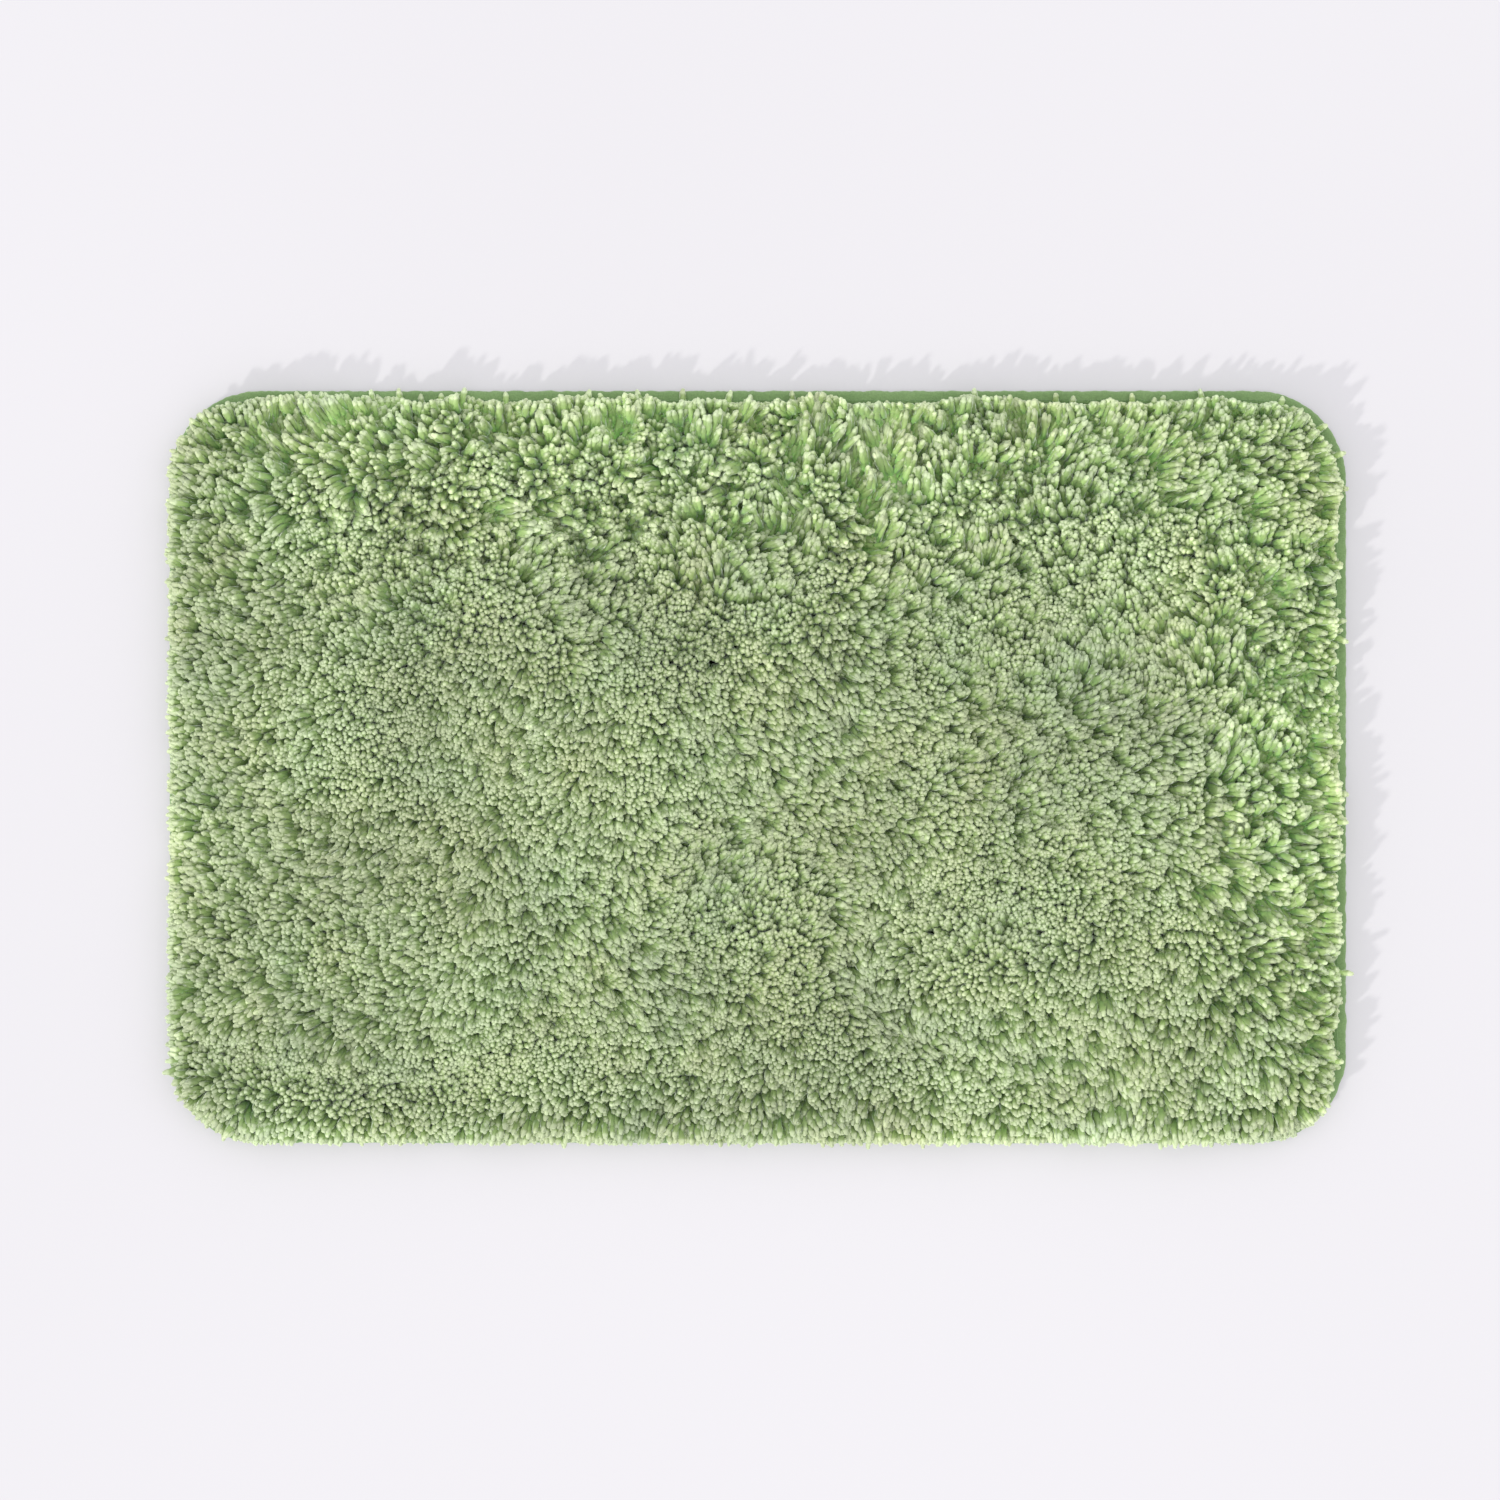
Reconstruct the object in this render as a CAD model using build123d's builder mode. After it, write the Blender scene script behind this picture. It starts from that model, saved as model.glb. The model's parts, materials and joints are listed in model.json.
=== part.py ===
from build123d import *
import os

# Shaggy bath mat with rounded corners, built up as a tufted mat is made.
#
# Yarn rows are tufted through a woven ground cloth. A latex coat locks their back stitches, a rubber
# sheet with grip dots covers the underside, and a folded tape binds the edge with one lockstitched seam.
#
# Millimetres. +X runs along the mat, +Y across it and +Z up. The origin is on the floor under the centre.

# The finished mat, seen from above
mat_length = 782.0
mat_width = 500.0
corner_radius = 60.0

# Layer thicknesses, from the floor up
dot_height = 1.6
sheet_thickness = 1.2
latex_thickness = 0.8
cloth_thickness = 0.8
pile_height = 24.0

# Tufting: rows run along X, one yarn to a row
gauge = 10.0
row_count = 48
row_gap = 0.4
pile_rounding = 3.0
neck_width = 2.4
back_stitch_width = 3.2
back_stitch_height = 0.5

# Edge binding, a folded tape
tape_thickness = 1.0
tape_cover = 9.0
hem_margin = 1.0

# Seam and its two threads
seam_inset = 6.4
thread_diameter = 0.5

# Grip dots on the underside, in a staggered grid
dot_diameter = 8.0
dot_pitch = 36.0
dots_along = 21
dots_across = 13
dot_taper = 18.0

# Care label, a blank woven tab at the hem of the underside
label_width = 34.0
label_reach = 20.0
label_thickness = 0.3
label_place = 234.0
label_clearance = 2.0

# Levels that follow from the layers
sheet_bottom = dot_height
latex_bottom = sheet_bottom + sheet_thickness
cloth_bottom = latex_bottom + latex_thickness
cloth_top = cloth_bottom + cloth_thickness
pile_top = cloth_top + pile_height

# The binding wraps the stack of sheet, latex and cloth with a round outer fold
stack_middle = (sheet_bottom + cloth_top) / 2
fold_inner = (cloth_top - sheet_bottom) / 2
fold_outer = fold_inner + tape_thickness
tufted_inset = tape_cover + hem_margin


def layer_outline(inset, mode=Mode.ADD):
    """The mat's rounded outline, drawn smaller by inset all round."""
    return RectangleRounded(
        mat_length - 2 * inset, mat_width - 2 * inset, corner_radius - inset, mode=mode
    )


def row_strips(width):
    """One strip along every yarn row, cut off at the edge of the tufted area."""
    with GridLocations(0, gauge, 1, row_count):
        Rectangle(mat_length, width)
    layer_outline(tufted_inset, mode=Mode.INTERSECT)


def outline_path(inset, level):
    """The same outline as a closed path at this height."""
    with BuildSketch(Plane.XY.offset(level)) as outline:
        layer_outline(inset)
    return outline.sketch.face().outer_wire()


def write(builder, name):
    """Labels a finished piece and writes it as its own STEP file."""
    builder.part.label = name
    export_step(builder.part, f"parts/{name}.step")


os.makedirs("parts", exist_ok=True)

# Rubber sheet with its grip dots, moulded in one piece. No dots lie where the label is sewn on.
label_edge = -mat_width / 2 + tape_cover
label_middle = label_edge + label_reach / 2


def clear_of_label(spot):
    """True if a grip dot at this place doesn't touch the care label."""
    reach = dot_diameter / 2 + label_clearance
    beside = abs(spot.position.X - label_place) > label_width / 2 + reach
    beyond = abs(spot.position.Y - label_middle) > label_reach / 2 + reach
    return beside or beyond


straight_grid = GridLocations(dot_pitch, dot_pitch, dots_along, dots_across)
between_grid = GridLocations(dot_pitch, dot_pitch, dots_along - 1, dots_across - 1)
dot_places = [spot for grid in (straight_grid, between_grid) for spot in grid if clear_of_label(spot)]

with BuildPart() as anti_slip_backing:
    with BuildSketch(Plane.XY.offset(sheet_bottom)):
        layer_outline(fold_outer)
    extrude(amount=sheet_thickness)
    with BuildSketch(Plane.XY.offset(sheet_bottom)):
        with Locations(*dot_places):
            Circle(dot_diameter / 2)
    extrude(amount=-dot_height, taper=dot_taper)
write(anti_slip_backing, "anti_slip_backing")

# Latex coat, with a groove for the back stitches of each row
with BuildPart() as latex_coat:
    with BuildSketch(Plane.XY.offset(latex_bottom)):
        layer_outline(fold_outer)
    extrude(amount=latex_thickness)
    with BuildSketch(Plane.XY.offset(cloth_bottom)):
        row_strips(back_stitch_width)
    extrude(amount=-back_stitch_height, mode=Mode.SUBTRACT)
write(latex_coat, "latex_coat")

# Ground cloth, open along each row where the yarn comes through
with BuildPart() as ground_cloth:
    with BuildSketch(Plane.XY.offset(cloth_bottom)):
        layer_outline(fold_outer)
        with BuildSketch(mode=Mode.SUBTRACT):
            row_strips(neck_width)
    extrude(amount=cloth_thickness)
write(ground_cloth, "ground_cloth")

# Yarn rows: back stitches in the latex, a neck through the cloth and the pile above it
pile_width = gauge - row_gap
for row in range(row_count):
    row_y = (row - (row_count - 1) / 2) * gauge
    row_plane = Plane(origin=(0, row_y, 0), x_dir=(0, 1, 0), z_dir=(1, 0, 0))
    with BuildPart() as yarn_row:
        with BuildSketch(row_plane):
            with Locations((0, cloth_bottom - back_stitch_height / 2)):
                Rectangle(back_stitch_width, back_stitch_height)
            with Locations((0, (cloth_bottom + cloth_top) / 2)):
                Rectangle(neck_width, cloth_thickness)
            with Locations((0, (cloth_top + pile_top) / 2)):
                pile_section = Rectangle(pile_width, pile_height)
            fillet(pile_section.vertices().group_by(Axis.Z)[-1], pile_rounding)
        extrude(amount=mat_length / 2, both=True)
        with BuildSketch():
            layer_outline(tufted_inset)
        extrude(amount=pile_top, mode=Mode.INTERSECT)
    write(yarn_row, f"yarn_row_{row + 1:02d}")

# Edge binding: flat under and over the stack, round outside it
fold_path = outline_path(fold_outer, stack_middle)
fold_direction = fold_path % 0
fold_plane = Plane(fold_path @ 0, x_dir=fold_direction.cross(Vector(0, 0, 1)), z_dir=fold_direction)
flange_length = tape_cover - fold_outer
flange_height = (fold_inner + fold_outer) / 2

with BuildPart() as edge_binding:
    with BuildSketch(fold_plane):
        with BuildSketch():
            Circle(fold_outer)
            Circle(fold_inner, mode=Mode.SUBTRACT)
            with Locations((-fold_outer, 0)):
                Rectangle(2 * fold_outer, 2 * fold_outer, mode=Mode.SUBTRACT)
        with Locations((-flange_length / 2, flange_height), (-flange_length / 2, -flange_height)):
            Rectangle(flange_length, tape_thickness)
    sweep(path=fold_path)
write(edge_binding, "edge_binding")


# Seam threads: the needle thread lies on the binding and the bobbin thread under it
def seam_thread(level):
    """A ring of thread that follows the seam at this height."""
    seam_path = outline_path(seam_inset, level)
    with BuildPart() as thread:
        with BuildSketch(Plane(seam_path @ 0, z_dir=seam_path % 0)):
            Circle(thread_diameter / 2)
        sweep(path=seam_path)
    return thread


needle_level = stack_middle + fold_outer + thread_diameter / 2
bobbin_level = stack_middle - fold_outer - thread_diameter / 2
write(seam_thread(needle_level), "needle_thread")
write(seam_thread(bobbin_level), "bobbin_thread")

# Care label, flat against the rubber sheet
with BuildPart() as care_label:
    with BuildSketch(Plane.XY.offset(sheet_bottom)):
        with Locations((label_place, label_middle)):
            Rectangle(label_width, label_reach)
    extrude(amount=-label_thickness)
write(care_label, "care_label")
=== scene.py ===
"""The looks of a shaggy bath mat: separate yarn ends, a bound hem with real stitches, woven cloth and rubber.

Everything is in metres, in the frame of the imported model: +X along the mat, +Y across it and +Z up.
"""

import json
import math

import bpy
import numpy as np
from mathutils.kdtree import KDTree
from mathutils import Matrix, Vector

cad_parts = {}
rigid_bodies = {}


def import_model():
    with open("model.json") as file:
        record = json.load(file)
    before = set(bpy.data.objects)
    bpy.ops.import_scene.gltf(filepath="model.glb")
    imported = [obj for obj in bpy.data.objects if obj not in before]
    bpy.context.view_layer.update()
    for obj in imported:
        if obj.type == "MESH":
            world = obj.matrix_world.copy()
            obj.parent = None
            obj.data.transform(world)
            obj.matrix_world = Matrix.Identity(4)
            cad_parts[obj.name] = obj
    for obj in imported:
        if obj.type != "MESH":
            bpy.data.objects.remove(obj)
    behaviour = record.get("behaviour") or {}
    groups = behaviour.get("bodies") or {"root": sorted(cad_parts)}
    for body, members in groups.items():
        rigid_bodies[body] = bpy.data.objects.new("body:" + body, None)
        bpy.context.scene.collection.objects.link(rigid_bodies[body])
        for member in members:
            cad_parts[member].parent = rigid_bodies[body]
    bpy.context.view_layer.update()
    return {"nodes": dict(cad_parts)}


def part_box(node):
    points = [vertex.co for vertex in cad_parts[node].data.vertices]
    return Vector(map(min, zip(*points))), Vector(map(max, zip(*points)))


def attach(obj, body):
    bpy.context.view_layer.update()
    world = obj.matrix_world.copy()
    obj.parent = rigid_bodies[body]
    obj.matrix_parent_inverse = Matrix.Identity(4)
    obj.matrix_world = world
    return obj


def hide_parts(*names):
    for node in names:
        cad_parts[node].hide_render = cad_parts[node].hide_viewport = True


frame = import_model()

MM = 0.001
random = np.random.default_rng(17)

# ---------------------------------------------------------------- sizes, in metres

BINDING_LOW, BINDING_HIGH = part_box("edge_binding")
HALF_LENGTH = BINDING_HIGH.x
HALF_WIDTH = BINDING_HIGH.y
CORNER_RADIUS = 60 * MM
CLOTH_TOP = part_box("ground_cloth")[1].z
ROWS = sorted(name for name in frame["nodes"] if name.startswith("yarn_row"))

# Yarn ends stand in threes across a row, TUFT_PITCH apart along it
YARN_LENGTH = 26.0 * MM
YARN_RADIUS = 1.45 * MM
TUFT_PITCH = 1.9 * MM
PLY_SPREAD = 3.33 * MM
ROOT_SPREAD = 2.9 * MM
ROOT_INSET = 10.8 * MM
SHORT_SHARE = 0.22

# Chance shifts along and across the row, in millimetres
ROOT_JITTER = (0.7, 0.9)
TIP_JITTER = (0.8, 0.9)


def add_object(name, data):
    """A new object in the scene."""
    made = bpy.data.objects.new(name, data)
    bpy.context.scene.collection.objects.link(made)
    return made


# ---------------------------------------------------------------- helpers for smooth random fields

def outline_distance(x, y):
    """How far a place is outside the mat's rounded outline, negative inside it."""
    over_x = np.abs(x) - (HALF_LENGTH - CORNER_RADIUS)
    over_y = np.abs(y) - (HALF_WIDTH - CORNER_RADIUS)
    outside = np.hypot(np.maximum(over_x, 0), np.maximum(over_y, 0))
    return outside + np.minimum(np.maximum(over_x, over_y), 0) - CORNER_RADIUS


def outline_normal(x, y):
    """The direction straight out to the nearest part of the outline."""
    step = 0.1 * MM
    out_x = outline_distance(x + step, y) - outline_distance(x - step, y)
    out_y = outline_distance(x, y + step) - outline_distance(x, y - step)
    size = np.maximum(np.hypot(out_x, out_y), 1e-9)
    return out_x / size, out_y / size


def smooth_noise(x, y, scale):
    """Random values from -1 to 1 that change smoothly over about this distance."""
    columns = int(2 * HALF_LENGTH / scale) + 6
    lines = int(2 * HALF_WIDTH / scale) + 6
    lattice = random.uniform(-1, 1, (columns, lines))
    u = (x + HALF_LENGTH) / scale + 2
    v = (y + HALF_WIDTH) / scale + 2
    column, line = np.floor(u).astype(int), np.floor(v).astype(int)
    u, v = u - column, v - line
    u, v = u * u * (3 - 2 * u), v * v * (3 - 2 * v)
    near = lattice[column, line] * (1 - u) + lattice[column + 1, line] * u
    far = lattice[column, line + 1] * (1 - u) + lattice[column + 1, line + 1] * u
    return near * (1 - v) + far * v


def smoothstep(low, high, value):
    """0 below low, 1 above high and a smooth rise between."""
    t = np.clip((value - low) / (high - low), 0, 1)
    return t * t * (3 - 2 * t)


def far_share(out_x, out_y):
    """From 0 on the near and left sides of the mat to 1 on the far and right ones, where the hem shows."""
    return smoothstep(-0.15, 0.6, (out_x + out_y) * math.sqrt(0.5))


# ---------------------------------------------------------------- where each yarn end starts and points

def tuft_roots():
    """Root places, resting tip places and row numbers of all the yarn ends."""
    roots, tips, rows = [], [], []
    for number, node in enumerate(ROWS):
        low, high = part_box(node)
        middle = (low.y + high.y) / 2
        count = int((high.x - low.x) / TUFT_PITCH)
        places = low.x + (np.arange(count) + 0.5) * (high.x - low.x) / count
        for ply in (-1, 0, 1):
            x = places + (0.5 * TUFT_PITCH if ply else 0) * (1 if number % 2 else -1)
            x = x + random.uniform(-ROOT_JITTER[0], ROOT_JITTER[0], count) * MM
            y = middle + ply * ROOT_SPREAD + random.uniform(-ROOT_JITTER[1], ROOT_JITTER[1], count) * MM
            keep = outline_distance(x, y) < -ROOT_INSET
            x, y = x[keep], y[keep]
            tip_x = x + random.normal(0, TIP_JITTER[0], x.size) * MM
            tip_y = y + ply * (PLY_SPREAD - ROOT_SPREAD) + random.normal(0, TIP_JITTER[1], x.size) * MM
            roots.append(np.stack([x, y], 1))
            tips.append(np.stack([tip_x, tip_y], 1))
            rows.append(np.full(x.size, number))
    return np.concatenate(roots), np.concatenate(tips), np.concatenate(rows)


# Where the pile has been brushed: centre x and y, lean x and y, reach along x and y, in millimetres
BRUSH_STROKES = (
    (60, 215, 4, 13, 170, 42),
    (-200, 225, -5, 11, 150, 40),
    (270, 205, 11, 8, 90, 55),
    (370, 60, 13, -3, 40, 170),
    (345, -150, 10, -6, 60, 110),
    (130, 120, 9, 8, 110, 55),
    (40, 30, 9, -10, 90, 60),
    (-60, 110, 5, 9, 60, 55),
    (-270, 100, -10, 3, 100, 70),
    (-330, -20, -11, -1, 60, 90),
    (-180, -20, -5, -3, 100, 50),
    (-230, -150, -9, -6, 140, 60),
    (-60, -160, 9, -8, 120, 55),
    (180, -190, 5, -10, 160, 45),
    (200, -60, 6, 4, 90, 60),
)

# Where the pile is most ruffled, with fatter fingers, painted brighter as a highlight on their lit flanks:
# centre x and y, reach along x and y
RUFFLED = (
    (70, 195, 240, 75),
    (-200, 205, 150, 65),
    (345, 20, 55, 230),
)


# The pile's lean. Leans are in millimetres, and bands are distances from the outline.
RESTING_LEAN = 9.5
LEAN_CHANGE = 2.0
BRUSH_FORCE = 0.8
DROOP_BAND = (-45 * MM, -9 * MM)
EDGE_DROOP = 13.5
LESS_DROOP_FAR = 4.0
DROOP_FORCE = 0.85

# How far tips may reach past the outline, in millimetres
HEM_COVERED = (-1.6, 1.2)
HEM_SHOWING = 6.5
HEM_WAVE = 24 * MM
HEM_JITTER = 1.2
STRAY_SHARE = 0.05
STRAY_REACH = (0.3, 4.0)


def ruffle(x, y):
    """From 0 where the pile lies smooth to 1 where it is most ruffled."""
    calm = np.ones_like(x)
    for centre_x, centre_y, reach_x, reach_y in RUFFLED:
        away = ((x / MM - centre_x) / reach_x) ** 2 + ((y / MM - centre_y) / reach_y) ** 2
        calm = calm * (1 - np.exp(-away))
    return 1 - calm


def lean_field(x, y):
    """How far the tips lie from straight over their roots: brushed areas, the edges and chance."""
    heading = 1.7 * math.pi * smooth_noise(x, y, 130 * MM) + 0.7 * smooth_noise(x, y, 35 * MM)
    size = (RESTING_LEAN + LEAN_CHANGE * smooth_noise(x, y, 60 * MM)) * MM
    lean_x, lean_y = size * np.cos(heading), size * np.sin(heading)
    for centre_x, centre_y, stroke_x, stroke_y, reach_x, reach_y in BRUSH_STROKES:
        away = ((x / MM - centre_x) / reach_x) ** 2 + ((y / MM - centre_y) / reach_y) ** 2
        share = np.exp(-away)
        lean_x = lean_x * (1 - BRUSH_FORCE * share) + BRUSH_FORCE * stroke_x * MM * share
        lean_y = lean_y * (1 - BRUSH_FORCE * share) + BRUSH_FORCE * stroke_y * MM * share
    edge = smoothstep(*DROOP_BAND, outline_distance(x, y))
    out_x, out_y = outline_normal(x, y)
    outward = edge * (EDGE_DROOP - LESS_DROOP_FAR * far_share(out_x, out_y)) * MM
    lean_x = lean_x * (1 - DROOP_FORCE * edge) + outward * out_x
    lean_y = lean_y * (1 - DROOP_FORCE * edge) + outward * out_y
    return lean_x, lean_y


def scattered_places(spacing):
    """Places all over the mat, about this far apart and in no order."""
    count = int(1.1 * 4 * HALF_LENGTH * HALF_WIDTH / spacing ** 2)
    places = random.uniform(-1, 1, (count, 2)) * (HALF_LENGTH, HALF_WIDTH)
    return push_apart(places, 0.85 * spacing, 12)


def nearest_places(points, places):
    """For each point, the number of the nearest place, and how much further off the second nearest is."""
    tree = KDTree(len(places))
    for number, (x, y) in enumerate(places):
        tree.insert((x, y, 0), number)
    tree.balance()
    found = [tree.find_n((x, y, 0), 2) for x, y in points]
    nearest = np.array([first[1] for first, _ in found])
    margin = np.array([second[2] - first[2] for first, second in found])
    return nearest, margin


def clump_pull(tips, spacing, pull, scatter):
    """How clumps move their tips, and how far each tip is down in the furrow round its clump."""
    centres = scattered_places(spacing)
    ragged = tips + random.normal(0, 0.06 * spacing, tips.shape)
    own, margin = nearest_places(ragged, centres)
    strength = random.uniform(0.1, 1, len(centres))
    own_lean = random.normal(0, 1, (len(centres), 2)) * scatter
    move = (centres[own] - tips) * (pull * strength[own, None]) + own_lean[own]
    return move, (1 - smoothstep(0, 0.45 * spacing, margin)) * strength[own]


def open_pits(tips, spacing, radius, push):
    """How far the tips move out of the small hollows between clumps, and how deep in one each tip is."""
    pits = scattered_places(spacing)
    sizes = radius * random.uniform(0.5, 1.3, len(pits))
    own, _ = nearest_places(tips, pits)
    gap = tips - pits[own]
    distance = np.maximum(np.hypot(gap[:, 0], gap[:, 1]), 1e-6)
    depth = 1 - smoothstep(0.3, 1.5, distance / sizes[own])
    return gap / distance[:, None] * (push * depth * sizes[own])[:, None], depth


def push_apart(tips, least, rounds):
    """Moves tips that crowd each other until most are at least this far apart."""
    for _ in range(rounds):
        cell = np.floor(tips / least).astype(int)
        cell -= cell.min(0)
        width = cell[:, 1].max() + 3
        key = (cell[:, 0] + 1) * width + cell[:, 1] + 1
        order = np.argsort(key, kind="stable")
        starts = np.searchsorted(key[order], np.arange(key.max() + width + 3))
        move = np.zeros_like(tips)
        for across in (-1, 0, 1):
            for along in (-1, 0, 1):
                wanted = key + across * width + along
                first, last = starts[wanted], starts[wanted + 1]
                for turn in range(int((last - first).max())):
                    has = first + turn < last
                    other = order[np.minimum(first + turn, len(tips) - 1)]
                    gap = tips - tips[other]
                    distance = np.hypot(gap[:, 0], gap[:, 1])
                    close = has & (distance < least) & (distance > 1e-9)
                    push = 0.25 * (least - distance[close]) / distance[close]
                    move[close] += gap[close] * push[:, None]
        tips = tips + move
    return tips


def keep_on_mat(tips):
    """Holds back tips that reach past the hem, but for a few stray ones. The far sides show more hem."""
    distance = outline_distance(tips[:, 0], tips[:, 1])
    out_x, out_y = outline_normal(tips[:, 0], tips[:, 1])
    count = len(tips)
    covered = random.uniform(*HEM_COVERED, count) * MM
    wave = -HEM_SHOWING + HEM_SHOWING * smooth_noise(*tips.T, HEM_WAVE)
    showing = (wave + random.uniform(-HEM_JITTER, HEM_JITTER, count)) * MM
    limit = covered + (showing - covered) * far_share(out_x, out_y)
    stray = random.random(count) < STRAY_SHARE
    limit = np.where(stray, random.uniform(*STRAY_REACH, count) * MM, limit)
    over = np.maximum(distance - limit, 0)
    return tips - np.stack([out_x, out_y], 1) * over[:, None]


# ---------------------------------------------------------------- yarn ends as meshes

# Each yarn is a tube of SIDES sides with rings at these places along it, as wide as its radius times these
SIDES = 6
RING_PLACES = np.array([0.0, 0.24, 0.48, 0.68, 0.85, 0.96])
RING_WIDTHS = np.array([1.2, 1.4, 1.48, 1.47, 1.32, 0.82])
STRIP_COLUMNS = 60
STRIP_MARGIN = 0.08
PLY_RELIEF = 0.09
PLY_TWIST = math.radians(38)
FULL_BEND = 14 * MM


def yarn_curves(root, tip, height):
    """Centre points of all the yarns at every ring and at the tip, and their frames there."""
    lean = tip - root
    places = np.append(RING_PLACES, 1.0)
    t = places[None, :]
    distance = np.hypot(lean[:, 0], lean[:, 1])
    bend = np.clip(distance / FULL_BEND, 0, 1)
    low_out, low_up = 0.06, 0.5
    high_out, high_up = 0.46, (0.74 + 0.2 * bend)[:, None]
    first, second, third = 3 * t * (1 - t) ** 2, 3 * t * t * (1 - t), t ** 3
    out = first * low_out + second * high_out + third
    up = first * low_up + second * high_up + third
    first, second, third = 3 * (1 - t) * (1 - 3 * t), 3 * t * (2 - 3 * t), 3 * t * t
    out_rate = first * low_out + second * high_out + third
    up_rate = first * low_up + second * high_up + third
    chance = random.uniform(0, 2 * math.pi, len(root))
    heading = np.where(distance > 0.3 * MM, np.arctan2(lean[:, 1], lean[:, 0]), chance)
    heading_x, heading_y = np.cos(heading)[:, None], np.sin(heading)[:, None]
    along = distance[:, None] * out
    centre_x, centre_y = root[:, :1] + along * heading_x, root[:, 1:] + along * heading_y
    centre = np.stack([centre_x, centre_y, height[:, None] * up], 2)
    run, rise = distance[:, None] * out_rate, height[:, None] * up_rate
    size = np.hypot(run, rise)
    run, rise = run / size, rise / size
    side = np.stack([-heading_y + 0 * t, heading_x + 0 * t, 0 * run], 2)
    over = np.stack([-rise * heading_x, -rise * heading_y, run], 2)
    one_each = (len(root), 1, 2)
    bow, wave = np.sin(math.pi * places)[None, :, None], np.sin(2.7 * math.pi * places)[None, :, None]
    wobble = random.normal(0, 0.4 * MM, one_each) * bow
    wobble = wobble + random.normal(0, 0.18 * MM, one_each) * wave
    centre = centre + side * wobble[:, :, :1] + over * wobble[:, :, 1:]
    return centre, side, over


def yarn_mesh(name, centre, side, over, radius, tone_and_highlight, lean_highlight):
    """One mesh with a closed, twisted tube for every yarn end of a row.

    Each yarn's brightness is partly chance and partly a painted highlight, and its lean share, from 0 to 1,
    paints the top of a leaning yarn paler, as a highlight on its lit flank.
    """
    yarns, rings = len(centre), len(RING_PLACES)
    turn = np.arange(SIDES) * 2 * math.pi / SIDES
    start = random.uniform(0, 2 * math.pi, yarns)
    angle = start[:, None, None] + PLY_TWIST * np.arange(rings)[None, :, None] + turn[None, None, :]
    relief = 1 + PLY_RELIEF * np.where(np.arange(SIDES) % 2, -1, 1)
    width = radius[:, None, None] * RING_WIDTHS[None, :, None] * relief[None, None, :]
    body = centre[:, :rings, None] + width[..., None] * (
        np.cos(angle)[..., None] * side[:, :rings, None] + np.sin(angle)[..., None] * over[:, :rings, None]
    )
    per_yarn = rings * SIDES + 1
    points = np.concatenate([body.reshape(yarns, -1, 3), centre[:, rings:]], 1)

    walls = []
    for ring in range(rings - 1):
        for corner in range(SIDES):
            beside = (corner + 1) % SIDES
            low, high = ring * SIDES, (ring + 1) * SIDES
            walls.append((low + corner, low + beside, high + beside, high + corner))
    last = (rings - 1) * SIDES
    domes = [(last + c, last + (c + 1) % SIDES, per_yarn - 1) for c in range(SIDES)]
    bottom = [tuple(range(SIDES - 1, -1, -1))]
    faces = walls + domes + bottom
    corners = np.array([v for face in faces for v in face])
    face_starts = np.cumsum([0] + [len(face) for face in faces])[:-1]
    offsets = np.arange(yarns)[:, None]

    mesh = bpy.data.meshes.new(name)
    mesh.vertices.add(yarns * per_yarn)
    mesh.vertices.foreach_set("co", points.astype(np.float32).ravel())
    mesh.loops.add(yarns * len(corners))
    own_corners = corners[None] + offsets * per_yarn
    mesh.loops.foreach_set("vertex_index", own_corners.astype(np.int32).ravel())
    mesh.polygons.add(yarns * len(faces))
    own_starts = face_starts[None] + offsets * len(corners)
    mesh.polygons.foreach_set("loop_start", own_starts.astype(np.int32).ravel())
    mesh.polygons.foreach_set("use_smooth", np.ones(yarns * len(faces), bool))
    mesh.update(calc_edges=True)

    along = np.append(np.repeat(RING_PLACES, SIDES), 1.0)
    # The further a yarn leans, the lower the pale tip colour starts: a painted highlight on its lit flank
    highlight_along = along[None] + 0.2 * lean_highlight[:, None] * along[None]
    add_values(mesh, "along", np.clip(highlight_along, 0, 1).ravel())
    add_values(mesh, "tone_and_highlight", np.repeat(tone_and_highlight, per_yarn))
    add_strip_map(mesh, yarns, corners, faces, along)
    return mesh


def add_values(mesh, name, values):
    """Stores one number for every vertex."""
    mesh.attributes.new(name, "FLOAT", "POINT").data.foreach_set("value", values.astype(np.float32))


def add_strip_map(mesh, yarns, corners, faces, along):
    """A UV map that gives every yarn its own upright strip, along which the yarn material draws its fibres
    and ply grooves.
    """
    lines = math.ceil(yarns / STRIP_COLUMNS)
    across = []
    for face in faces:
        sides = [vertex % SIDES for vertex in face]
        if len(face) == 4:
            sides = [sides[0], sides[0] + 1, sides[0] + 1, sides[0]]
        elif len(face) == 3:
            sides = [sides[0], sides[0] + 1, sides[0] + 0.5]
        across += sides
    across = np.array(across) / SIDES * (1 - 2 * STRIP_MARGIN) + STRIP_MARGIN
    upward = along[corners] * 0.9 + 0.05
    cell = np.arange(yarns)
    u = (cell[:, None] % STRIP_COLUMNS + across[None]) / STRIP_COLUMNS
    v = (cell[:, None] // STRIP_COLUMNS + upward[None]) / lines
    strips = mesh.uv_layers.new(name="OFBake")
    strips.data.foreach_set("uv", np.stack([u, v], 2).astype(np.float32).ravel())


# ---------------------------------------------------------------- materials

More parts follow.
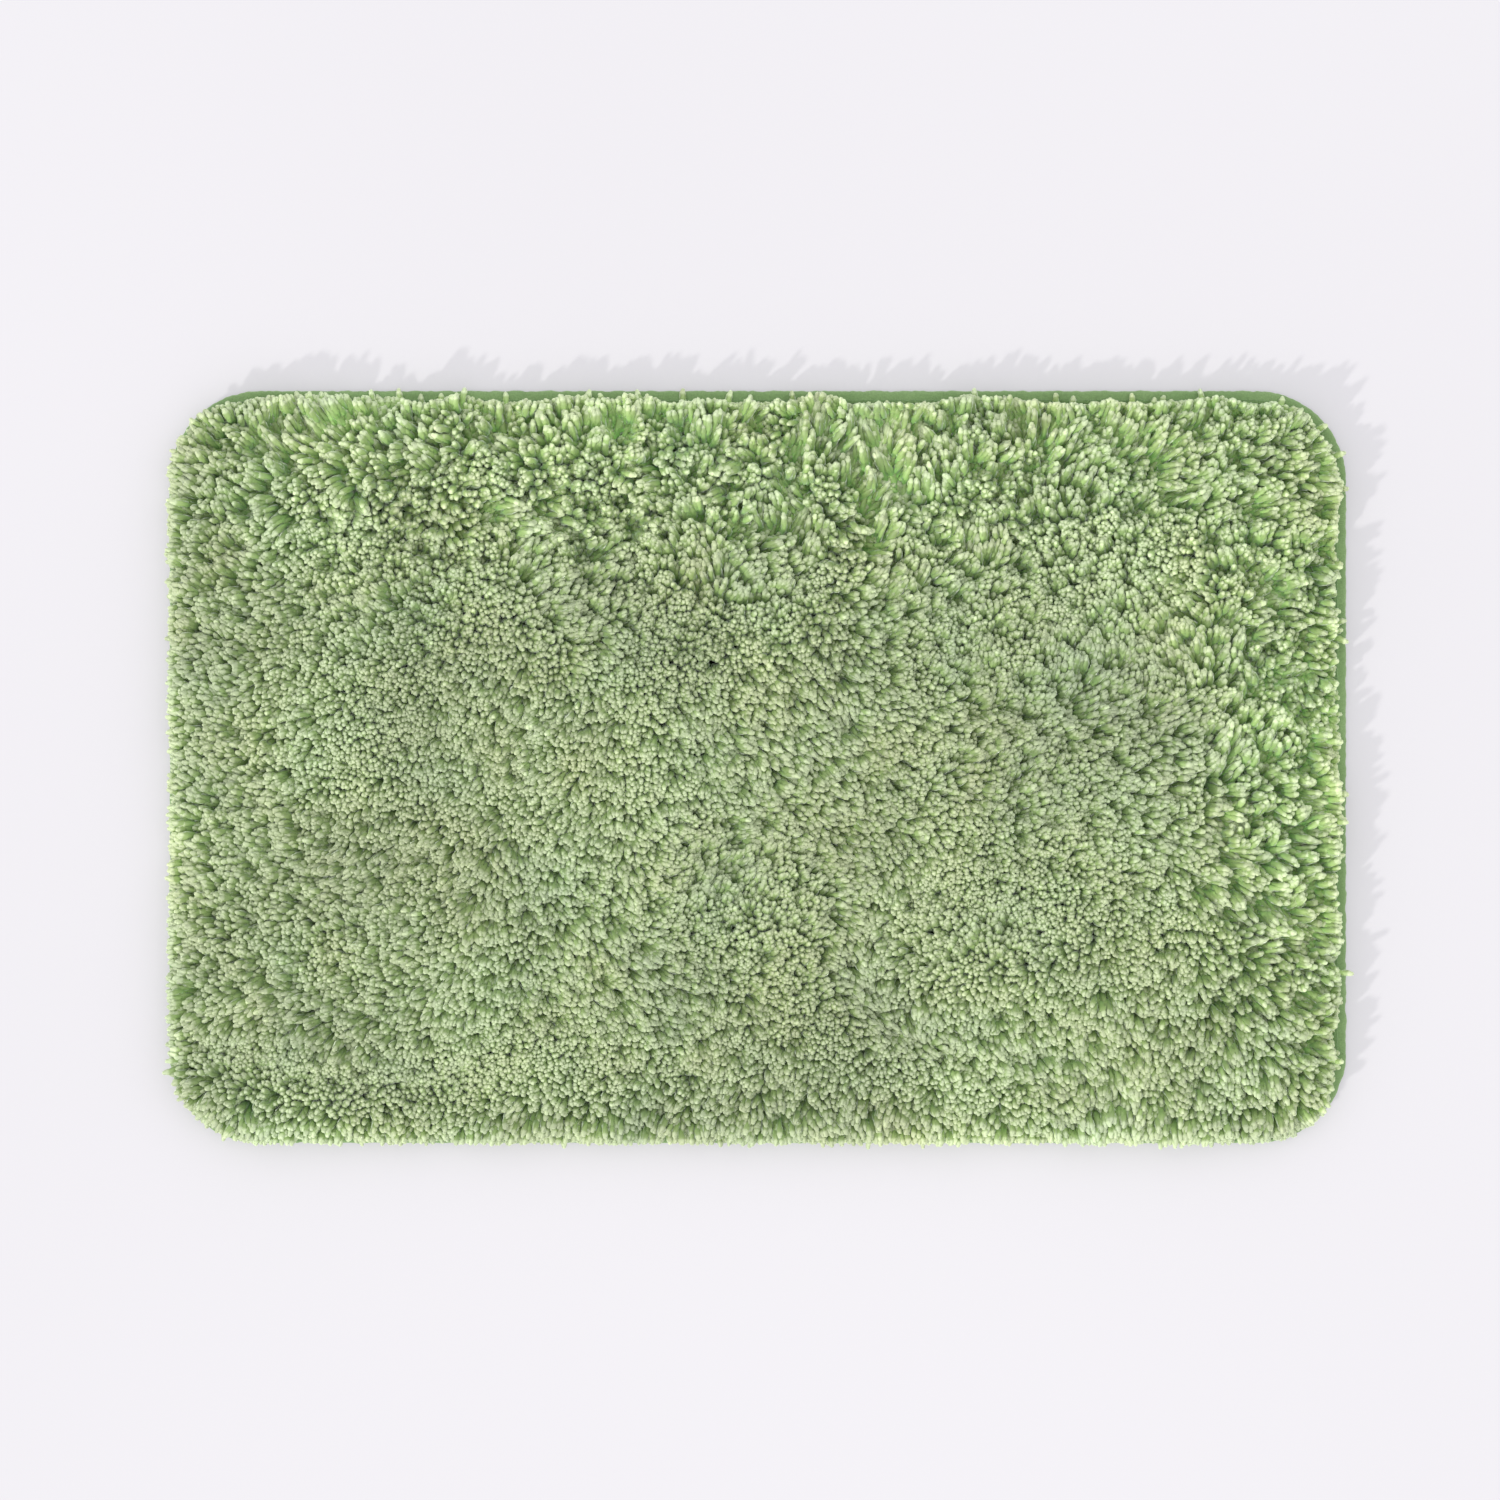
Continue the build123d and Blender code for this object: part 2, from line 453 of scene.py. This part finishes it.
class Shader:
    """A small helper that builds a Principled material from nodes."""

    def __init__(self, name, roughness, sheen=0.0, sheen_roughness=0.4, specular=0.5):
        self.material = bpy.data.materials.new(name)
        self.material.use_nodes = True
        self.tree = self.material.node_tree
        self.principled = self.tree.nodes["Principled BSDF"]
        self.principled.inputs["Roughness"].default_value = roughness
        self.principled.inputs["Sheen Weight"].default_value = sheen
        self.principled.inputs["Sheen Roughness"].default_value = sheen_roughness
        self.principled.inputs["Specular IOR Level"].default_value = specular

    def node(self, kind, inputs=None, **settings):
        """Adds a node. An input's value is a number, a colour or another node's output."""
        node = self.tree.nodes.new(kind)
        for key, value in settings.items():
            setattr(node, key, value)
        for key, value in (inputs or {}).items():
            self.feed(node.inputs[key], value)
        return node

    def feed(self, socket, value):
        """Links an output to a socket, or sets its value."""
        if isinstance(value, bpy.types.NodeSocket):
            self.tree.links.new(value, socket)
        else:
            socket.default_value = value

    def position(self):
        """The place on the mat, in metres."""
        return self.node("ShaderNodeTexCoord").outputs["Object"]

    def attribute(self, name):
        return self.node("ShaderNodeAttribute", attribute_name=name).outputs["Fac"]

    def maths(self, operation, first, second=0.0):
        return self.node("ShaderNodeMath", {0: first, 1: second}, operation=operation).outputs[0]

    def noise(self, scale, detail=2.0, place=None):
        place = place or self.position()
        inputs = {"Vector": place, "Scale": scale, "Detail": detail}
        return self.node("ShaderNodeTexNoise", inputs).outputs["Fac"]

    def ramp(self, value, *stops):
        """A colour ramp with stops of (place, colour)."""
        node = self.node("ShaderNodeValToRGB", {"Fac": value})
        elements = node.color_ramp.elements
        while len(elements) < len(stops):
            elements.new(0.5)
        for element, (place, colour) in zip(elements, stops):
            element.position = place
            element.color = (*colour, 1)
        return node.outputs["Color"]

    def mix(self, share, first, second, blend="MIX"):
        node = self.node("ShaderNodeMix", data_type="RGBA", blend_type=blend)
        self.feed(node.inputs[0], share)
        self.feed(node.inputs[6], (*first, 1) if isinstance(first, tuple) else first)
        self.feed(node.inputs[7], (*second, 1) if isinstance(second, tuple) else second)
        return node.outputs[2]

    def colour(self, value):
        self.feed(self.principled.inputs["Base Color"], value)

    def bump(self, height, depth, strength=1.0):
        node = self.node("ShaderNodeBump", {"Height": height, "Distance": depth, "Strength": strength})
        self.feed(self.principled.inputs["Normal"], node.outputs["Normal"])


def pile_material():
    """Green microfibre yarn, each yarn a little different. Its colour is painted deeper and more saturated
    green low down, as the shade in the gaps, and pale at the tip as a painted highlight.
    """
    shader = Shader("pile_yarn", roughness=0.55, sheen=1.0, sheen_roughness=0.35, specular=0.6)
    shader.principled.inputs["Sheen Tint"].default_value = (0.9, 1.0, 0.8, 1)
    along, tone_and_highlight = shader.attribute("along"), shader.attribute("tone_and_highlight")
    # Colour up the yarn: the saturated green low down is painted shade for the gaps, and the pale end near
    # the tip is a painted highlight
    depth = shader.ramp(
        along,
        (0.0, (0.165, 0.40, 0.10)),
        (0.35, (0.20, 0.40, 0.11)),
        (0.62, (0.238, 0.37, 0.122)),
        (0.8, (0.238, 0.342, 0.122)),
        (0.92, (0.256, 0.348, 0.14)),
        (1.0, (0.43, 0.50, 0.31)),
    )
    patches = shader.noise(22, 3)
    warm = shader.mix(patches, (0.91, 1.0, 1.02), (1.10, 1.01, 0.88))
    coloured = shader.mix(1.0, depth, warm, "MULTIPLY")
    strip_map = shader.node("ShaderNodeUVMap", uv_map="OFBake").outputs[0]
    strips = shader.node("ShaderNodeSeparateXYZ", {"Vector": strip_map})
    strip = shader.maths("FRACT", shader.maths("MULTIPLY", strips.outputs["X"], STRIP_COLUMNS))
    # Lighter on the ply lobes and darker between them: painted shade in the ply grooves
    groove_turn = shader.maths("MULTIPLY", shader.maths("SUBTRACT", strip, STRIP_MARGIN), 6 * math.pi)
    ply_groove_shade = shader.maths("COSINE", shader.maths("DIVIDE", groove_turn, 1 - 2 * STRIP_MARGIN))
    fibre_place = shader.node(
        "ShaderNodeCombineXYZ",
        {
            "X": shader.maths("MULTIPLY", strips.outputs["X"], STRIP_COLUMNS * 11),
            "Y": shader.maths("MULTIPLY", strips.outputs["Y"], 60),
        },
    )
    fibres = shader.noise(1.0, 2, fibre_place.outputs[0])
    loops = shader.noise(800, 2)
    # Brightness: each yarn's chance tone with its painted highlight, fibres, loops and the painted shade of
    # the ply grooves
    bright = shader.maths("MULTIPLY", tone_and_highlight, 0.42)
    for share, source in ((0.26, fibres), (0.22, loops), (0.08, ply_groove_shade)):
        bright = shader.maths("ADD", bright, shader.maths("MULTIPLY", source, share))
    bright = shader.maths("ADD", bright, 0.52)
    grey = shader.node("ShaderNodeCombineColor", {"Red": bright, "Green": bright, "Blue": bright}).outputs[0]
    shader.colour(shader.mix(1.0, coloured, grey, "MULTIPLY"))
    return shader.material


# ---------------------------------------------------------------- the pile

# How clumps gather their tips: the distance between clumps, the pull inwards and the scatter of their leans
STRANDS = (6.5 * MM, 0.3, 0.9 * MM)
SMALL_CLUMPS = (13 * MM, 0.36, 2.2 * MM)
LARGE_CLUMPS = (25 * MM, 0.1, 3.2 * MM)

# The hollows between clumps: the distance between them, their radius and the push outwards
PITS = (23 * MM, 7 * MM, 0.45)

LEAN_SPREAD = 0.12
LEAN_NOISE = 0.9 * MM
BRUSHED_LEAN = 10 * MM
SHORT_GATHER = 0.3
EDGE_CALM = 0.6
TIP_GAP = 2.0 * MM
EDGE_BAND = (-24 * MM, -12 * MM)
OUTER_BAND = (-18 * MM, -12 * MM)

# Lengths are shares of YARN_LENGTH, and a yarn that leans is lower by as much as it reaches out
LENGTH_SPREAD = 0.035
LENGTH_PATCHES = 0.07
SHORT_LENGTHS = (0.68, 0.9)
RUFFLED_SHORTER = 0.16
MOST_SUNK = 0.62
REACH_COST = 1.1
LEAST_HEIGHT = 0.4
OUTER_DROP = (0.05, 0.7)
RADIUS_SPREAD = 0.06

# Brightness of single yarns: the least, the chance spread, the painted highlight on ruffled fingers and on
# yarns near the edges, and the most
TONE_LEAST = 0.12
TONE_CHANCE = (1.6, 0.24)
RUFFLED_HIGHLIGHT = 0.6
EDGE_HIGHLIGHT = 0.7
TONE_MOST = 1.8


def make_pile():
    """One piece for every yarn row, in place of its plain CAD bar."""
    roots, tips, rows = tuft_roots()
    count = len(tips)

    # Where the tips come to lie
    lean = np.stack(lean_field(tips[:, 0], tips[:, 1]), 1) * random.normal(1, LEAN_SPREAD, (count, 1))
    brushed = np.hypot(*lean.T) / BRUSHED_LEAN
    ruffled = ruffle(*tips.T)
    short = random.random(count) < SHORT_SHARE * (0.5 * brushed + 1.7 * ruffled)
    gathered = np.where(short, SHORT_GATHER, 1.0)[:, None]
    moved, depth = open_pits(tips, *PITS)
    strands, gap = clump_pull(tips, *STRANDS)
    small, furrow = clump_pull(tips, *SMALL_CLUMPS)
    large, wide_furrow = clump_pull(tips, *LARGE_CLUMPS)
    activity = (0.27 + 0.19 * brushed) * (1 + 2.3 * ruffled)
    root_distance = outline_distance(*roots.T)
    edge = smoothstep(*EDGE_BAND, root_distance)
    own_way = (small + large + moved) * gathered * activity[:, None] * (1 - EDGE_CALM * edge[:, None])
    own_way = own_way + strands * ruffled[:, None]
    lean = lean + own_way + random.normal(0, LEAN_NOISE, lean.shape)
    tips = keep_on_mat(push_apart(tips + lean, TIP_GAP, 2))
    distance = np.hypot(*(tips - roots).T)

    # How long and high the yarns are
    length = YARN_LENGTH * random.normal(1, LENGTH_SPREAD, count)
    length = length * (1 + LENGTH_PATCHES * smooth_noise(*tips.T, 45 * MM))
    length = length * np.where(short, random.uniform(*SHORT_LENGTHS, count) - RUFFLED_SHORTER * ruffled, 1)
    sunk = 0.5 * depth + 0.55 * furrow + 0.2 * wide_furrow + 0.15 * gap * ruffled
    length = length * (1 - np.minimum(activity * sunk, MOST_SUNK))
    upright = length ** 2 - (REACH_COST * distance) ** 2
    height = np.sqrt(np.maximum(upright, (LEAST_HEIGHT * length) ** 2))
    height = height * (1 - smoothstep(*OUTER_BAND, root_distance) * random.uniform(*OUTER_DROP, count))

    # How thick they are, and how bright: chance and patches, plus a painted highlight on ruffled fingers and
    # near the edges
    radius = YARN_RADIUS * random.normal(1, RADIUS_SPREAD, count) * (1.08 + 0.04 * ruffled)
    chance = random.gamma(*TONE_CHANCE, count) * (0.6 + 0.8 * ruffled)
    tone_and_highlight = TONE_LEAST + chance + np.where(short, 0, RUFFLED_HIGHLIGHT) * ruffled + EDGE_HIGHLIGHT * edge
    patchy = 0.3 * smooth_noise(*tips.T, 90 * MM) + 0.2 * smooth_noise(*tips.T, 40 * MM)
    tone_and_highlight = np.clip(tone_and_highlight + patchy, 0, TONE_MOST)
    # How far each yarn leans, from 0 to 1, which paints its top paler as a highlight
    lean_highlight = np.clip(distance / FULL_BEND, 0, 1)

    centre, side, over = yarn_curves(roots, tips, height)
    centre[:, :, 2] += CLOTH_TOP
    material = pile_material()
    for number, node in enumerate(ROWS):
        own = rows == number
        name = node.replace("yarn_row", "pile_tufts")
        mesh = yarn_mesh(name, centre[own], side[own], over[own], radius[own], tone_and_highlight[own], lean_highlight[own])
        mesh.materials.append(material)
        piece = add_object(name, mesh)
        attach(piece, "root")
        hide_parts(node)


make_pile()


# ---------------------------------------------------------------- the hem: folded tape and its stitches

# As in the CAD
TAPE_COVER = 9.0 * MM
TAPE_THICKNESS = 1.0 * MM
FOLD_RADIUS = (BINDING_HIGH.z - BINDING_LOW.z) / 2
FOLD_LEVEL = (BINDING_HIGH.z + BINDING_LOW.z) / 2
SEAM_INSET = 6.4 * MM
STITCH_PITCH = 4.0 * MM
THREAD_RADIUS = 0.24 * MM
RINGS_PER_STITCH = 4


def outline_length(inset):
    """The length all round of the outline drawn in by inset."""
    straight = 4 * (HALF_LENGTH + HALF_WIDTH - 2 * CORNER_RADIUS)
    return straight + 2 * math.pi * (CORNER_RADIUS - inset)


def outline_track(inset, count):
    """Evenly spaced points on the outline drawn in by inset, and the outward direction at each."""
    radius = CORNER_RADIUS - inset
    middle_x, middle_y = HALF_LENGTH - CORNER_RADIUS, HALF_WIDTH - CORNER_RADIUS
    along = np.arange(count) * outline_length(inset) / count
    places, outward = np.zeros((count, 2)), np.zeros((count, 2))
    start = 0.0
    corners = ((middle_x, middle_y), (-middle_x, middle_y), (-middle_x, -middle_y), (middle_x, -middle_y))
    for side, corner in enumerate(corners):
        run = 2 * (middle_y if side % 2 == 0 else middle_x)
        end = start + run + radius * math.pi / 2
        here = (along >= start - 1e-9) & (along < end - 1e-9)
        passed = along[here] - start
        turn = side * math.pi / 2 + np.clip((passed - run) / radius, 0, math.pi / 2)
        out = np.stack([np.cos(turn), np.sin(turn)], 1)
        heading = side * math.pi / 2 + math.pi / 2
        back = np.maximum(run - passed, 0)[:, None] * (math.cos(heading), math.sin(heading))
        places[here] = np.array(corner) + out * radius - back
        outward[here] = out
        start = end
    return places, outward


def ring_noise(count, waves):
    """Smooth random values round a closed ring, with about this many waves in all."""
    turn = np.arange(count) / count * 2 * math.pi
    values = np.zeros(count)
    for _ in range(12):
        values += np.sin(turn * int(random.uniform(0.5, 1.4) * waves) + random.uniform(0, 2 * math.pi))
    return values / math.sqrt(6)


def tape_section():
    """The tape's closed section: places out from the fold's centre line, heights, and outward shares."""
    flange = TAPE_COVER - FOLD_RADIUS
    steps = np.linspace(0, 1, 4)[:-1]
    bend = np.linspace(math.pi / 2, -math.pi / 2, 9)
    sections = []
    for radius in (FOLD_RADIUS, FOLD_RADIUS - TAPE_THICKNESS):
        top = np.stack([flange * (steps - 1), radius + 0 * steps], 1)
        fold = np.stack([radius * np.cos(bend), radius * np.sin(bend)], 1)
        under = np.stack([-flange * (1 - steps[::-1]), -radius + 0 * steps], 1)
        sections.append(np.concatenate([top, fold, under]))
    return sections[0], sections[1][::-1]


def make_tape():
    """The hem: a soft knitted tape folded over the edge, puckered where the seam pulls it in."""
    rings = int(outline_length(FOLD_RADIUS) / STITCH_PITCH) * RINGS_PER_STITCH
    places, outward = outline_track(FOLD_RADIUS, rings)
    outer, inner = tape_section()
    stitch_wave = np.cos(np.arange(rings) * 2 * math.pi / RINGS_PER_STITCH)
    slack = 0.16 * MM * ring_noise(rings, 160) + 0.1 * MM * ring_noise(rings, 420)
    seam_place = FOLD_RADIUS - SEAM_INSET
    points, run, across = [], [], []
    travelled = np.arange(rings) * outline_length(FOLD_RADIUS) / rings
    width = np.cumsum(np.append(0, np.hypot(*np.diff(outer, axis=0).T)))
    for section, swell in ((outer, 1.0), (inner, 0.4)):
        for number, (out, up) in enumerate(section):
            near_seam = math.exp(-(((out - seam_place) / (1.3 * MM)) ** 2))
            lift = swell * (slack * (1 - near_seam) - near_seam * (0.22 + 0.1 * stitch_wave) * MM)
            size = math.hypot(max(out, 0.0), up)
            out_share, up_share = max(out, 0.0) / size, up / size
            flat = places + outward * (out + lift * out_share)[:, None]
            points.append(np.column_stack([flat, FOLD_LEVEL + up + lift * up_share]))
            run.append(travelled)
            across.append(np.full(rings, width[number] if swell == 1.0 else width[::-1][number]))
    sides = len(points)
    points = np.stack(points, 1)
    ring, side = np.meshgrid(np.arange(rings), np.arange(sides), indexing="ij")
    next_ring, next_side = (ring + 1) % rings, (side + 1) % sides
    here, beyond = ring * sides, next_ring * sides
    faces = np.stack([here + side, beyond + side, beyond + next_side, here + next_side], 2)
    mesh = bpy.data.meshes.new("hem_tape")
    mesh.from_pydata(points.reshape(-1, 3).tolist(), [], faces.reshape(-1, 4).tolist())
    mesh.polygons.foreach_set("use_smooth", np.ones(len(mesh.polygons), bool))
    add_values(mesh, "run", np.stack(run, 1).ravel())
    add_values(mesh, "across", np.stack(across, 1).ravel())
    mesh.materials.append(tape_material())
    tape = add_object("hem_tape", mesh)
    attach(tape, "root")
    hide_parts("edge_binding")


def tape_material():
    """Brushed knit: deep green, with fine ribs across the tape and a soft nap."""
    shader = Shader("hem_knit", roughness=0.85, sheen=0.7, sheen_roughness=0.5, specular=0.2)
    shader.principled.inputs["Sheen Tint"].default_value = (0.7, 0.95, 0.55, 1)
    run, across = shader.attribute("run"), shader.attribute("across")
    ribs = shader.maths("SINE", shader.maths("MULTIPLY", run, 2 * math.pi / (1.25 * MM)))
    courses = shader.maths("SINE", shader.maths("MULTIPLY", across, 2 * math.pi / (0.9 * MM)))
    knit = shader.maths("ADD", shader.maths("MULTIPLY", ribs, 0.5), shader.maths("MULTIPLY", courses, 0.3))
    nap = shader.noise(1400, 3)
    height = shader.maths("ADD", knit, shader.maths("MULTIPLY", nap, 1.6))
    patches = shader.noise(60, 3)
    shade = shader.ramp(patches, (0.25, (0.17, 0.275, 0.11)), (0.75, (0.215, 0.325, 0.14)))
    fleck = shader.ramp(nap, (0.3, (0.8, 0.8, 0.8)), (0.7, (1.12, 1.12, 1.12)))
    shader.colour(shader.mix(1.0, shade, fleck, "MULTIPLY"))
    shader.bump(height, 0.12 * MM, 0.7)
    return shader.material


def make_stitches(name, node, level, facing):
    """One side of the lockstitched seam: short bowed stitches that dip into the tape at both ends."""
    count = int(outline_length(SEAM_INSET) / STITCH_PITCH)
    places, outward = outline_track(SEAM_INSET, count)
    travel = np.stack([-outward[:, 1], outward[:, 0]], 1)
    sides, rings = 6, 7
    t = np.linspace(-1, 1, rings)
    rise = (1 - t ** 4) * 2 * THREAD_RADIUS - 1.2 * THREAD_RADIUS
    reach = t * STITCH_PITCH * 0.5
    turn = np.arange(sides) * 2 * math.pi / sides
    wobble = random.normal(0, 0.06 * MM, count)
    centre = places[:, None] + travel[:, None] * reach[None, :, None]
    centre = centre + outward[:, None] * wobble[:, None, None]
    ring_out = THREAD_RADIUS * np.cos(turn)
    ring_up = THREAD_RADIUS * np.sin(turn)
    flat = centre[:, :, None] + outward[:, None, None] * ring_out[None, None, :, None]
    up = level + facing * (rise[None, :, None] + ring_up[None, None, :]) + 0 * flat[..., 0]
    points = np.concatenate([flat, up[..., None]], 3).reshape(-1, 3)
    faces = []
    for stitch in range(count):
        first = stitch * rings * sides
        for ring in range(rings - 1):
            low, high = first + ring * sides, first + (ring + 1) * sides
            for corner in range(sides):
                beside = (corner + 1) % sides
                faces.append((low + corner, low + beside, high + beside, high + corner))
        faces.append(tuple(first + c for c in reversed(range(sides))))
        faces.append(tuple(first + (rings - 1) * sides + c for c in range(sides)))
    if facing < 0:
        faces = [face[::-1] for face in faces]
    mesh = bpy.data.meshes.new(name)
    mesh.from_pydata(points.tolist(), [], faces)
    mesh.polygons.foreach_set("use_smooth", np.ones(len(mesh.polygons), bool))
    mesh.materials.append(thread_material(name))
    piece = add_object(name, mesh)
    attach(piece, "root")
    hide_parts(node)


def thread_material(name):
    """Twisted polyester thread, a little lighter than the tape."""
    shader = Shader(name + "_polyester", roughness=0.45, sheen=0.3, specular=0.5)
    twist = shader.noise(2600, 2)
    shader.colour(shader.ramp(twist, (0.35, (0.17, 0.30, 0.12)), (0.65, (0.26, 0.40, 0.18))))
    shader.bump(twist, 0.08 * MM, 0.6)
    return shader.material


make_tape()
make_stitches("needle_stitches", "needle_thread", BINDING_HIGH.z, 1)
make_stitches("bobbin_stitches", "bobbin_thread", BINDING_LOW.z, -1)


# ---------------------------------------------------------------- materials of the layers under the pile

def dress(node, material):
    """Gives a CAD node this material."""
    piece = bpy.data.objects[node]
    piece.data.materials.clear()
    piece.data.materials.append(material)
    return piece


def weave(shader, pitch):
    """Height of a plain weave with yarns this far apart."""
    split = shader.node("ShaderNodeSeparateXYZ", {"Vector": shader.position()})
    waves = []
    for axis in ("X", "Y"):
        turn = shader.maths("MULTIPLY", split.outputs[axis], math.pi / pitch)
        waves.append(shader.maths("SINE", turn))
    crossing = shader.maths("MULTIPLY", *waves)
    ridges = [shader.maths("ABSOLUTE", wave) for wave in waves]
    return shader.maths("ADD", shader.maths("MULTIPLY", crossing, 0.5), shader.maths("MULTIPLY", *ridges))


def ground_material():
    """Woven polyester slit tape, dyed green with the pile that is tufted through it."""
    shader = Shader("ground_weave", roughness=0.55, sheen=0.1, specular=0.4)
    height = weave(shader, 1.2 * MM)
    # Lighter on the crowns of the weave and darker where it dips: painted shade in the hollows
    shader.colour(shader.ramp(height, (0.1, (0.085, 0.145, 0.057)), (0.9, (0.13, 0.215, 0.09))))
    shader.bump(height, 0.15 * MM)
    return shader.material


def latex_material():
    """Dried foamed latex: cream, matt and slightly pitted."""
    shader = Shader("latex_foam", roughness=0.8, specular=0.3)
    pits = shader.noise(700, 4)
    # Darker where the pits sink: painted shade in the pits
    shader.colour(shader.ramp(pits, (0.3, (0.55, 0.50, 0.38)), (0.7, (0.72, 0.68, 0.56))))
    shader.bump(pits, 0.3 * MM)
    return shader.material


def rubber_material():
    """Moulded thermoplastic rubber: off-white, finely grained, dull where it has rubbed the floor."""
    shader = Shader("moulded_rubber", roughness=0.5, specular=0.45)
    grain, marks = shader.noise(2200, 2), shader.noise(35, 4)
    shade = shader.ramp(marks, (0.3, (0.62, 0.62, 0.57)), (0.7, (0.71, 0.71, 0.66)))
    shader.colour(shade)
    gloss = shader.node("ShaderNodeMapRange", {"Value": marks, "To Min": 0.42, "To Max": 0.66})
    shader.feed(shader.principled.inputs["Roughness"], gloss.outputs["Result"])
    shader.bump(grain, 0.1 * MM, 0.6)
    return shader.material


def label_material():
    """White satin ribbon with fine ribs, left blank."""
    shader = Shader("label_satin", roughness=0.35, sheen=0.3, specular=0.5)
    split = shader.node("ShaderNodeSeparateXYZ", {"Vector": shader.position()})
    ribs = shader.maths("SINE", shader.maths("MULTIPLY", split.outputs["Y"], 2 * math.pi / (0.5 * MM)))
    # Lighter on the ribs and darker between them: painted shade in the rib hollows
    shader.colour(shader.ramp(ribs, (0.0, (0.78, 0.78, 0.76)), (1.0, (0.86, 0.86, 0.84))))
    shader.bump(ribs, 0.05 * MM, 0.5)
    return shader.material


cloth = dress("ground_cloth", ground_material())
dress("latex_coat", latex_material())
dress("anti_slip_backing", rubber_material())
label = dress("care_label", label_material())


# ---------------------------------------------------------------- floor, light and camera

FRAME_SPAN = 997.5 * MM
LENS = 85.0
SENSOR = 36.0
CAMERA_PLACE = (-5.3 * MM, 11.3 * MM)
SUN_HEIGHT = math.radians(29)
SUN_TURN = math.radians(-45)
SUN_WIDTH = math.radians(3)
SUN_ENERGY = 1.55
SUN_COLOUR = (1.0, 0.985, 0.95)
SKY_LOW = 0.6
SKY_HIGH = 1.7
SKY_COLOUR = (0.98, 0.985, 1.0, 1)
FLOOR_REACH = 6.0
FLOOR_GLOW = (1.0, 0.97, 1.06, 1)
FLOOR_GLOW_STRENGTH = 0.225


def make_floor():
    """A pale floor, partly lit by itself as an overexposed white backdrop is."""
    mesh = bpy.data.meshes.new("floor")
    corners = [(x * FLOOR_REACH, y * FLOOR_REACH, 0) for x, y in ((-1, -1), (1, -1), (1, 1), (-1, 1))]
    mesh.from_pydata(corners, [], [(0, 1, 2, 3)])
    floor = add_object("floor", mesh)
    shader = Shader("floor_paint", roughness=0.9, specular=0.0)
    shade = shader.ramp(shader.noise(0.9, 1), (0.3, (0.428, 0.418, 0.428)), (0.7, (0.448, 0.438, 0.448)))
    shader.colour(shade)
    shader.principled.inputs["Emission Color"].default_value = FLOOR_GLOW
    shader.principled.inputs["Emission Strength"].default_value = FLOOR_GLOW_STRENGTH
    mesh.materials.append(shader.material)


def make_lights():
    """A soft sun from the front left and a pale sky, brightest overhead."""
    sun = add_object("sun", bpy.data.lights.new("sun", "SUN"))
    sun.data.energy = SUN_ENERGY
    sun.data.angle = SUN_WIDTH
    sun.data.color = SUN_COLOUR
    sun.rotation_euler = (math.pi / 2 - SUN_HEIGHT, 0, SUN_TURN)
    world = bpy.data.worlds.new("sky")
    world.use_nodes = True
    background = world.node_tree.nodes["Background"]
    nodes, links = world.node_tree.nodes, world.node_tree.links
    direction = nodes.new("ShaderNodeSeparateXYZ")
    links.new(nodes.new("ShaderNodeTexCoord").outputs["Generated"], direction.inputs[0])
    brightness = nodes.new("ShaderNodeMapRange")
    brightness.inputs["To Min"].default_value = SKY_LOW
    brightness.inputs["To Max"].default_value = SKY_HIGH
    links.new(direction.outputs["Z"], brightness.inputs["Value"])
    links.new(brightness.outputs["Result"], background.inputs["Strength"])
    background.inputs["Color"].default_value = SKY_COLOUR
    bpy.context.scene.world = world


def make_camera():
    """Straight over the mat, with the long side across the picture."""
    camera = add_object("camera", bpy.data.cameras.new("camera"))
    camera.data.lens = LENS
    camera.data.sensor_width = SENSOR
    distance = FRAME_SPAN / 2 * LENS / (SENSOR / 2)
    hem_level = (BINDING_LOW.z + BINDING_HIGH.z) / 2
    camera.location = (*CAMERA_PLACE, hem_level + distance)
    bpy.context.scene.camera = camera


make_floor()
make_lights()
make_camera()
bpy.context.scene.view_settings.view_transform = "Standard"
